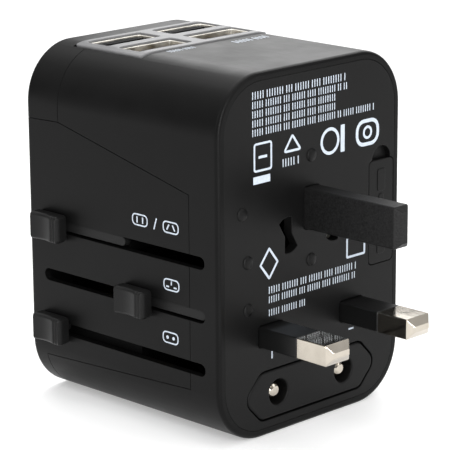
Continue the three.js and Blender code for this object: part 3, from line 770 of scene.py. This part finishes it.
def tip_rows(end, tip):
    """The rows of a tip as rings_along_y takes them."""
    return [(end - back, *row) for back, *row in tip]


def round_rings(x, z, rows, steps=32):
    """Round rings along Y. Rows are (y, radius)."""
    return [[(a, y, b) for a, b in circle(x, z, radius, steps)] for y, radius in rows]


def uk_pin(side, metal):
    node = f"uk_{side}_pin"
    low, high = span(node)
    sleeve_low, sleeve_high = span(f"uk_{side}_sleeve")
    width, height = sleeve_high.x - sleeve_low.x, sleeve_high.z - sleeve_low.z
    x, z = middle(node).x, middle(node).z
    core, step, corner = UK_CORE["inset"], UK_CORE["step"], UK_TIP[0][-1]
    shoulder = sleeve_high.y + step
    rows = [(y, core, core, UK_CORE["corner"]) for y in (low.y, shoulder)]
    rows += [(shoulder, 2 * step, 2 * step, UK_CORE["shoulder"]), (shoulder + step, 0, 0, corner)]
    made = Solid()
    made.loft(rings_along_y(x, z, width, height, rows + tip_rows(high.y, UK_TIP)))
    made.piece(f"pin_uk_{side}", [metal], "uk_plug", [node])


def uk_sleeve(side, plastic):
    node = f"uk_{side}_sleeve"
    low, high = span(node)
    x, z = middle(node).x, middle(node).z
    rows = [(low.y, *row) for row in SLEEVE_START] + tip_rows(high.y, SLEEVE_END)
    made = Solid()
    made.loft(rings_along_y(x, z, high.x - low.x, high.z - low.z, rows))
    made.piece(f"sleeve_uk_{side}", [plastic], "uk_plug", [node])


def earth_pin(plastic):
    low, high = span("uk_earth_pin")
    centre = (low + high) / 2
    rows = [(low.y, *EARTH_TIP[0][1:]), *tip_rows(high.y, EARTH_TIP)]
    made = Solid()
    made.loft(rings_along_y(centre.x, centre.z, high.x - low.x, high.z - low.z, rows))
    made.piece("pin_uk_earth", [plastic], "uk_plug", ["uk_earth_pin"])


def us_blade(side, metal):
    node = f"us_blade_{side}"
    low, high = span(node)
    centre = (low + high) / 2
    made = Solid()
    root = [(low.y + along, radius) for along, radius in BLADE_ROOT]
    made.loft(round_rings(centre.x, centre.z, root, 24))
    rows = [(low.y + BLADE["start"], *BLADE_TIP[0][1:]), *tip_rows(high.y, BLADE_TIP)]
    made.loft(rings_along_y(centre.x, centre.z, BLADE["thick"], BLADE["height"], rows))
    made.piece(f"blade_us_{side}", [metal], f"us_blade_{side}_body", [node])


def eu_pin(side, metal, plastic):
    node, sleeve = f"eu_pin_{side}", f"eu_sleeve_{side}"
    low, high = span(node)
    sleeve_low, sleeve_high = span(sleeve)
    x, z = middle(node).x, middle(node).z
    radius = (sleeve_high.x - sleeve_low.x) / 2
    core, shoulder = radius - EU_PIN["core_inset"], sleeve_high.y + EU_PIN["step"]
    dome, inner = EU_PIN["dome"], radius - EU_PIN["sleeve_wall"]
    rows = [(low.y, core), (shoulder, core), (shoulder, radius)]
    for k in range(6):
        turn = QUARTER * k / 6
        rows.append((high.y - dome * (1 - math.sin(turn)), radius - dome * (1 - math.cos(turn))))
    made = Solid()
    made.loft(round_rings(x, z, rows))
    made.piece(f"pin_eu_{side}", [metal], "eu_plug", [node])
    skin = Solid()
    ends = [(sleeve_low.y, inner), (sleeve_low.y, radius), (sleeve_high.y, radius), (sleeve_high.y, inner)]
    skin.loft(round_rings(x, z, ends))
    skin.piece(f"sleeve_eu_{side}", [plastic], "eu_plug", [sleeve])


# ---- USB outlets ----

PORTS = [f"usb_port_{k}" for k in range(1, 5)]


def bezel(plastic):
    low, high = span("usb_bezel")
    width = 2 * over_top(BEZEL["half"])
    outline = rounded_box(TOP, (low.y + high.y) / 2, width, high.y - low.y, BEZEL["corner"], 5)
    loops = [(outline, BEZEL["edge"])]
    half_x, half_y = MOUTH["half"]
    for node in PORTS:
        centre = middle(node)
        right, left = (over_top(centre.x + side * half_x) for side in (1, -1))
        width, u = right - left, TOP - (right + left) / 2
        mouth = rounded_box(u, centre.y, width, 2 * half_y, MOUTH["corner"], 3)
        loops.append((mouth, MOUTH["edge"]))
    made = Solid()
    made.slab(loops, BEZEL["thick"], raised(on_shell, BEZEL["proud"]), columns=corner_columns())
    made.piece("bezel_usb", [plastic], "housing", ["usb_bezel"])


def usb_port(node, metal, plastic, gold):
    low, high = span(node)
    centre = (low + high) / 2
    width, depth = high.x - low.x, high.y - low.y
    wall, bend = PORT["wall"], PORT["round"]
    floor = low.z + PORT["floor"]

    def ring(z, shrink):
        corner = PORT["corner"] - 0.8 * shrink
        outline = rounded_box(centre.x, centre.y, width - 2 * shrink, depth - 2 * shrink, corner, 3)
        return [(x, y, z) for x, y in outline]

    def block(x, y, half_width, half_depth, z0, z1):
        outline = rectangle(x, y, 2 * half_width, 2 * half_depth)
        return [[(a, b, z) for a, b in outline] for z in (z0, z1)]

    made = Solid()
    outside = [ring(low.z, 0), ring(high.z - bend, 0), ring(high.z, bend)]
    made.loft([*outside, ring(high.z, wall - bend), ring(high.z - bend, wall), ring(floor, wall)])
    outward = -1 if centre.y < middle("usb_bezel").y else 1
    y, half = centre.y + outward * PORT_TONGUE["offset"], PORT_TONGUE["half_depth"]
    top = high.z - PORT_TONGUE["recess"]
    made.loft(block(centre.x, y, PORT_TONGUE["half_width"], half, floor, top), 1)
    foot, tip = floor + CONTACT["foot"], top - CONTACT["recess"]
    sheet = (CONTACT["half_width"], CONTACT["half_depth"])
    for x in CONTACTS:
        made.loft(block(centre.x + x, y - outward * half, *sheet, foot, tip), 2)
    made.piece(f"port_{node[-1]}", [metal, plastic, gold], "housing", [node])


# ---- springs ----


def spring(side, metal):
    node = f"shutter_spring_{side}"
    low, high = span(node)
    x, y = middle(node).x, middle(node).y
    wire, radius, steps = SPRING["wire"], SPRING["radius"], SPRING["steps"]
    length = high.z - low.z - 2 * wire
    section = [4 * QUARTER * i / SPRING["sides"] for i in range(SPRING["sides"])]
    up = Vector((0, 0, 1))
    rings = []
    for k in range(steps + 1):
        t = k / steps
        turn = SPRING["turns"] * 4 * QUARTER * t
        out = Vector((math.cos(turn), math.sin(turn), 0))
        centre = Vector((x, y, low.z + wire + length * t)) + out * radius
        rings.append([centre + wire * (out * math.cos(a) + up * math.sin(a)) for a in section])
    made = Solid()
    made.loft(rings)
    coil = made.piece(f"spring_{side}", [metal], "housing", [node])
    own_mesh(coil)


# ---- prints ----

INK = {"low": -0.05, "high": 0.02}
TICK = {"width": 0.15, "pitch": 0.48, "groups": (5, 7, 3, 6, 4, 8, 2)}  # shares of the height, then counts

# Each row of small print is (start, end, bottom, top).
UPPER_ROWS = [(9.1, 64.4, 65.8), (9.75, 62.7, 64), (6.4, 61, 62.3), (6.3, 59.3, 60.6), (17.1, 57.6, 58.9)]
LOWER_ROWS = [(12.3, 27.4, 28.75), (12.5, 25.6, 26.9), (-1.8, 23.1, 24.4)]
FACE_ROWS = [(-15.8, *row) for row in UPPER_ROWS] + [(-11.6, *row) for row in LOWER_ROWS]
FACE_ROWS.append((-7.9, -3.6, 50.7, 52.2))
TOP_ROWS = [(-11, -4.2, 0, 1.5), (4.4, 13.4, -2.4, -0.4)]

# Blank symbols on the plug face as (outline, stroke), and plain bars as (u, v, width, height).
FACE_SYMBOLS = [
    (rounded_box(-13.1, 53.6, 4.8, 5.4, 0.6, 4), 0.4),
    (rounded([(-7.9, 53.2), (-2.7, 53.2), (-5.3, 56.7)], 0.4, 3), 0.45),
    (circle(4.9, 53.5, 2.6), 0.6),
    (rounded_box(15.4, 53.5, 6.6, 5.2, 2.2, 5), 0.7),
    (circle(15.4, 53.5, 1.3), 0.5),
    (rounded([(-14.1, 33.2), (-11.5, 30), (-9, 33.2), (-11.5, 36.4)], 0.3, 3), 0.45),
    (rounded_box(12.3, 31.9, 5.4, 4.2, 0.4, 3), 0.45),
]
FACE_BARS = [(-13.1, 53.6, 2.2, 0.5), (-13.4, 49.4, 4.4, 1.4), (8.4, 53.5, 1.1, 5.2)]
FACE_BARS += [(-10.8, 15.6, 0.35, 1.6), (11.1, 15.7, 1.4, 0.35)]

ICON = {"width": 4.2, "height": 2.3, "corner": 0.9, "stroke": 0.26}
ICONS = {"us": (5.2, 40.3), "aus": (13.4, 40.3), "uk": (13.4, 29.4), "eu": (13, 19.2)}
SLASH = {"y": 9.3, "width": 0.28, "degrees": -18}
BLADE_SIGN = {"apart": 0.75, "width": 0.3, "height": 1.2, "lean": 30}
UK_SIGN = {"apart": 1, "width": 0.3, "length": 0.75, "rise": 0.35, "drop": 0.4}
ROUND_SIGN = {"apart": 0.8, "radius": 0.34}


def mark(solid, outline, place, stroke):
    """A printed outline."""
    loop = facing(list(outline), True)
    solid.ring(loop, [tuple(p) for p in inset(loop, stroke)], INK["low"], INK["high"], place)


def bar(solid, u, v, width, height, place, degrees=0):
    turn = Matrix.Rotation(math.radians(degrees), 2)
    corners = [turn @ Vector(p) for p in rectangle(0, 0, width, height)]
    solid.prism([(u + p.x, v + p.y) for p in corners], INK["low"], INK["high"], place)


def ticks(solid, start, end, low, high, place):
    """A row of plain upright strokes in groups, where the real object has small print."""
    tall = high - low
    width, pitch, groups = TICK["width"] * tall, TICK["pitch"] * tall, TICK["groups"]
    u, group = start, 0
    while u < end:
        for _ in range(groups[group % len(groups)]):
            if u < end:
                bar(solid, u + width / 2, low + tall / 2, width, tall, place)
            u += pitch
        u += 0.6 * pitch
        group += 1


def face_print(ink):
    made = Solid()
    for row in FACE_ROWS:
        ticks(made, *row, on_plug_face)
    for outline, stroke in FACE_SYMBOLS:
        mark(made, outline, on_plug_face, stroke)
    for row in FACE_BARS:
        bar(made, *row, on_plug_face)
    made.piece("print_plug_face", [ink], "housing")


def side_print(ink):
    """A pictogram of each plug's pins next to its slider."""
    made = Solid()
    for y, z in ICONS.values():
        frame_line = rounded_box(y, z, ICON["width"], ICON["height"], ICON["corner"], 4)
        mark(made, frame_line, on_side, ICON["stroke"])
    for side in (-1, 1):
        for name, lean in (("us", 0), ("aus", BLADE_SIGN["lean"])):
            y, z = ICONS[name]
            size = (BLADE_SIGN["width"], BLADE_SIGN["height"])
            bar(made, y + side * BLADE_SIGN["apart"], z, *size, on_side, side * lean)
        y, z = ICONS["uk"]
        u, v = y + side * UK_SIGN["apart"], z - UK_SIGN["drop"]
        bar(made, u, v, UK_SIGN["length"], UK_SIGN["width"], on_side)
        y, z = ICONS["eu"]
        dot = circle(y + side * ROUND_SIGN["apart"], z, ROUND_SIGN["radius"], 12)
        made.prism(dot, INK["low"], INK["high"], on_side)
    y, z = ICONS["uk"]
    bar(made, y, z + UK_SIGN["rise"], UK_SIGN["width"], UK_SIGN["length"], on_side)
    bar(made, SLASH["y"], ICONS["us"][1], SLASH["width"], ICON["height"], on_side, SLASH["degrees"])
    made.piece("print_side", [ink], "housing")


def top_print(ink):
    made = Solid()

    def place(u, v, n):
        return on_top(-u, -v, n)

    for row in TOP_ROWS:
        ticks(made, *row, place)
    made.piece("print_top", [ink], "housing")


# ---- materials ----


class Shader:
    """A material whose nodes are added one by one."""

    def __init__(self, name):
        self.material = bpy.data.materials.new(name)
        self.material.use_nodes = True
        self.tree = self.material.node_tree
        self.tree.nodes.clear()
        self.place = (self.add("TexCoord"), "Object")

    def add(self, kind, inputs=None, **settings):
        node = self.tree.nodes.new("ShaderNode" + kind)
        for name, value in settings.items():
            setattr(node, name, value)
        for name, value in (inputs or {}).items():
            socket = node.inputs[name]
            if isinstance(value, tuple) and isinstance(value[0], bpy.types.Node):
                self.tree.links.new(value[0].outputs[value[1]], socket)
            else:
                socket.default_value = value
        return node

    def noise(self, size, detail=3, stretch=None):
        """Noise whose features are about size millimetres, longer along the axes that stretch names."""
        where = self.place
        if stretch:
            inputs = {"Vector": self.place, "Scale": [1 / s for s in stretch]}
            where = (self.add("Mapping", inputs), "Vector")
        return self.add("TexNoise", {"Vector": where, "Scale": 1 / (size * MM), "Detail": detail}), "Fac"

    def between(self, value, low, high, start=0.3, end=0.7):
        inputs = {"Value": value, "From Min": start, "From Max": end, "To Min": low, "To Max": high}
        return self.add("MapRange", inputs), "Result"

    def blend(self, value, colour, other):
        inputs = {"Fac": value, "Color1": (*colour, 1), "Color2": (*other, 1)}
        return self.add("MixRGB", inputs), "Color"

    def finish(self, heights, **inputs):
        """Adds the surface. Each of heights is (value, strength, depth in millimetres), the finest last."""
        normal = {}
        for value, strength, depth in heights:
            inner = {"Height": value, "Strength": strength, "Distance": depth * MM}
            bump = self.add("Bump", {**inner, **normal})
            normal = {"Normal": (bump, "Normal")}
        named = {name.replace("_", " "): value for name, value in inputs.items()}
        surface = self.add("BsdfPrincipled", {**named, **normal})
        self.add("OutputMaterial", {"Surface": (surface, "BSDF")})
        return self.material


def grey(value):
    return (value, value, value)


def moulded(name, dark, light, rough, ior=1.4, grain=0.35, depth=0.012, strength=0.5, patch=9):
    """Moulded plastic with a spark-eroded grain, handling marks and patches of uneven tone. With a fine patch
    size the light patches are painted glints, as on the earth pin.
    """
    s = Shader(name)
    cloud = s.noise(patch, 4)
    rub = s.noise(0.5, 3, (1, 9, 2))
    colour = s.blend(s.between(cloud, 0, 1), dark, light)
    cloudy = s.between(cloud, rough - 0.04, rough + 0.04)
    roughness = s.add("Math", {0: cloudy, 1: s.between(rub, -0.012, 0.012)})
    heights = [(s.noise(3), 0.25, 0.02), (s.noise(grain, 5), strength, depth)]
    return s.finish(heights, Base_Color=colour, Roughness=(roughness, "Value"), IOR=ior)


def plated(name, dark, light, rough, scratch=(1, 12, 1)):
    """Plated metal with fine draw lines and small dents."""
    s = Shader(name)
    lines = s.noise(0.12, 2, scratch)
    cloud = s.noise(2.5, 4)
    colour = s.blend(s.between(cloud, 0, 1), dark, light)
    roughness = s.between(cloud, 0.7 * rough, 1.4 * rough)
    heights = [(s.noise(1.2, 2), 0.2, 0.02), (lines, 0.15, 0.004)]
    return s.finish(heights, Base_Color=colour, Roughness=roughness, Metallic=1.0)


def silver_plastic(name):
    """Plastic with a metallic paint whose flakes make it sparkle faintly."""
    s = Shader(name)
    flakes = s.noise(0.08, 1)
    cloud = s.noise(5, 3)
    colour = s.blend(s.between(cloud, 0, 1), (0.15, 0.15, 0.153), (0.18, 0.18, 0.184))
    roughness = s.between(cloud, 0.32, 0.4)
    heights = [(cloud, 0.05, 0.02), (flakes, 0.2, 0.003)]
    return s.finish(heights, Base_Color=colour, Roughness=roughness, IOR=1.22)


def printed(name, colour, rough=0.5):
    """Screen-printed ink, a little uneven."""
    s = Shader(name)
    cover = s.noise(0.3, 3)
    base = s.blend(s.between(cover, 0, 1), tuple(0.85 * c for c in colour), colour)
    roughness = s.between(cover, rough - 0.05, rough + 0.1)
    return s.finish([(cover, 0.3, 0.005)], Base_Color=base, Roughness=roughness)


def board_mask(name):
    """Green solder mask over copper tracks."""
    s = Shader(name)
    inputs = {"Vector": s.place, "Scale": 260, "Randomness": 0.55}
    tracks = s.add("TexVoronoi", inputs, distance="MANHATTAN"), "Distance"
    colour = s.blend(s.between(tracks, 0, 1, 0.3, 0.35), (0.02, 0.11, 0.04), (0.03, 0.18, 0.07))
    roughness = s.between(s.noise(2), 0.25, 0.4)
    return s.finish([(tracks, 0.3, 0.02)], Base_Color=colour, Roughness=roughness)


def clear_glass(name):
    s = Shader(name)
    streak = s.noise(0.8, 3, (1, 1, 8))
    look = {"Base_Color": (0.95, 0.98, 0.97, 1), "Transmission_Weight": 0.9, "IOR": 1.5}
    return s.finish([(streak, 0.1, 0.01)], Roughness=s.between(streak, 0.02, 0.08), **look)


MATERIALS = {
    "shell": moulded("shell_plastic", grey(0.0026), grey(0.0038), 0.4, ior=1.2),
    "plate": moulded("plate_plastic", grey(0.0034), grey(0.0048), 0.42, ior=1.225),
    "knob": moulded("knob_plastic", grey(0.007), grey(0.0095), 0.4, ior=1.245),
    "bezel": silver_plastic("bezel_paint"),
    "nickel": plated("nickel_plate", (0.46, 0.42, 0.36), (0.52, 0.475, 0.41), 0.1),
    "brass": plated("clip_brass", (0.6, 0.42, 0.16), (0.68, 0.5, 0.22), 0.3),
    "sleeve": moulded("sleeve_plastic", grey(0.004), grey(0.005), 0.3, grain=0.8, depth=0.004),
    # The earth pin's fine light speckle (patch 0.3) is painted glints, standing in for small highlights off
    # its grain. The grain bumps are real relief.
    "earth": moulded("earth_plastic_painted_glints", grey(0.003), grey(0.014), 0.5, ior=1.25, grain=0.3, depth=0.04,
                     strength=0.8, patch=0.3),
    # Near-black plastic for the inner parts and the USB tongues. On the slider flanges behind the side slots
    # it is painted shade: darker than the knob plastic, so the inside of the slots reads as shade.
    "inner": moulded("inner_black_and_painted_shade", grey(0.0015), grey(0.0025), 0.6, grain=0.8, ior=1.12),
    "fuse": clear_glass("fuse_glass"),
    "steel": plated("port_steel", (0.66, 0.63, 0.57), (0.74, 0.71, 0.65), 0.42, (1, 1, 10)),
    "board": board_mask("board_mask"),
    "winding": moulded("winding_tape", (0.5, 0.36, 0.05), (0.62, 0.46, 0.09), 0.35, 1.5, 1.5),
    "can": moulded("can_sleeve", (0.012, 0.022, 0.06), (0.018, 0.03, 0.08), 0.3, 1.5, 2.0),
}
GOLD = plated("contact_gold", (0.85, 0.6, 0.22), (0.9, 0.66, 0.28), 0.2)
WHITE_INK = printed("white_ink", (0.54, 0.6, 0.68))


# ---- the object ----


def dress_cad_nodes():
    """Gives each CAD node that stays in view the material of its slot."""
    for row in frame["record"]["subparts"]:
        node = frame["nodes"][row["node"]]
        node.data.materials.clear()
        node.data.materials.append(MATERIALS[row["material_slot"]])


def build():
    shell, plate, grip, nickel = (MATERIALS[name] for name in ("shell", "plate", "knob", "nickel"))
    dress_cad_nodes()
    shells(shell)
    plug_face(plate)
    guide_block(plate)
    socket_face(plate)
    fuse_lid(plate)
    for name in ("main", "spare"):
        fuse(name, MATERIALS["steel"], MATERIALS["fuse"])
    inner = MATERIALS["inner"]
    for name in KNOBS:
        knob(name, grip, inner)
    for side in ("live", "neutral"):
        uk_pin(side, nickel)
        uk_sleeve(side, MATERIALS["sleeve"])
        us_blade(side, nickel)
        eu_pin(side, nickel, MATERIALS["sleeve"])
    earth_pin(MATERIALS["earth"])
    bezel(MATERIALS["bezel"])
    for node in PORTS:
        usb_port(node, MATERIALS["steel"], MATERIALS["inner"], GOLD)
    for side in ("left", "right"):
        spring(side, MATERIALS["steel"])
    face_print(WHITE_INK)
    side_print(WHITE_INK)
    top_print(WHITE_INK)


# ---- studio ----

CAMERA = {"place": (313.5, 315.0, 150.36), "aim": (-2.19, 0.6, 33.38), "roll": -0.407, "lens": 189.5}
FLOOR = {"width": 20000, "thick": 20, "glow": 0.32}
BODY_MIDDLE = (0, 0, 35)
TOP_MIDDLE = (0, 0, 69)
SKY_LOW = {"rise": 0.15, "grey": 0.16}
SKY_HIGH = {"rise": 0.75, "grey": 1}
LAMPS = {  # place, size, power and aim
    "top_softbox": ((-100, -150, 750), (700, 700), 3.2, BODY_MIDDLE),
    "left_softbox": ((700, -200, 350), (400, 600), 1, BODY_MIDDLE),
    "right_softbox": ((-350, 700, 350), (300, 600), 1, BODY_MIDDLE),
    "back_panel": ((-158, -92, 172), (180, 175), 0.26, TOP_MIDDLE),
    "edge_strip": ((290, 490, 190), (40, 500), 3, BODY_MIDDLE),
}


def camera():
    data = bpy.data.cameras.new("camera")
    data.lens = CAMERA["lens"]
    data.sensor_width = 36
    made = bpy.data.objects.new("camera", data)
    made.location = Vector(CAMERA["place"]) * MM
    look = (Vector(CAMERA["aim"]) - Vector(CAMERA["place"])).to_track_quat("-Z", "Y").to_matrix()
    made.rotation_euler = (look @ Matrix.Rotation(math.radians(CAMERA["roll"]), 3, "Z")).to_euler()
    data.clip_start, data.clip_end = 0.01, 100
    bpy.context.scene.collection.objects.link(made)
    bpy.context.scene.camera = made


def floor():
    made = Solid()
    made.prism(rectangle(0, 0, FLOOR["width"], FLOOR["width"]), -FLOOR["thick"], 0, lambda u, v, n: (u, v, n))
    data = bpy.data.meshes.new("floor")
    made.bm.to_mesh(data)
    s = Shader("floor_paper")
    tone = s.blend(s.noise(400, 2), grey(0.7), grey(0.72))
    glow = {"Emission_Color": (1, 1, 1, 1), "Emission_Strength": FLOOR["glow"]}
    paper = s.finish([(s.noise(2), 0.05, 0.02)], Base_Color=tone, Roughness=0.8, IOR=1.2, **glow)
    data.materials.append(paper)
    ground = bpy.data.objects.new("floor", data)
    bpy.context.scene.collection.objects.link(ground)


def lamp(name, place, size, power, aim):
    data = bpy.data.lights.new(name, "AREA")
    data.shape = "RECTANGLE"
    data.size, data.size_y = size[0] * MM, size[1] * MM
    data.energy = power
    made = bpy.data.objects.new(name, data)
    made.location = Vector(place) * MM
    made.rotation_euler = (Vector(aim) - Vector(place)).to_track_quat("-Z", "Y").to_euler()
    made.visible_camera = False
    bpy.context.scene.collection.objects.link(made)


def studio():
    world = bpy.data.worlds.new("studio")
    bpy.context.scene.world = world
    world.use_nodes = True
    nodes, links = world.node_tree.nodes, world.node_tree.links
    nodes.clear()
    where = nodes.new("ShaderNodeTexCoord")
    split = nodes.new("ShaderNodeSeparateXYZ")
    ramp = nodes.new("ShaderNodeValToRGB")
    sky = nodes.new("ShaderNodeBackground")
    out = nodes.new("ShaderNodeOutputWorld")
    for stop, sky_part in zip(ramp.color_ramp.elements, (SKY_LOW, SKY_HIGH)):
        stop.position = sky_part["rise"]
        stop.color = (*grey(sky_part["grey"]), 1)
    links.new(where.outputs["Generated"], split.inputs["Vector"])
    links.new(split.outputs["Z"], ramp.inputs["Fac"])
    links.new(ramp.outputs["Color"], sky.inputs["Color"])
    links.new(sky.outputs["Background"], out.inputs["Surface"])
    sky.inputs["Strength"].default_value = 1.0
    for name, settings in LAMPS.items():
        lamp(name, *settings)


build()
camera()
floor()
studio()
bpy.context.scene.view_settings.view_transform = "Standard"
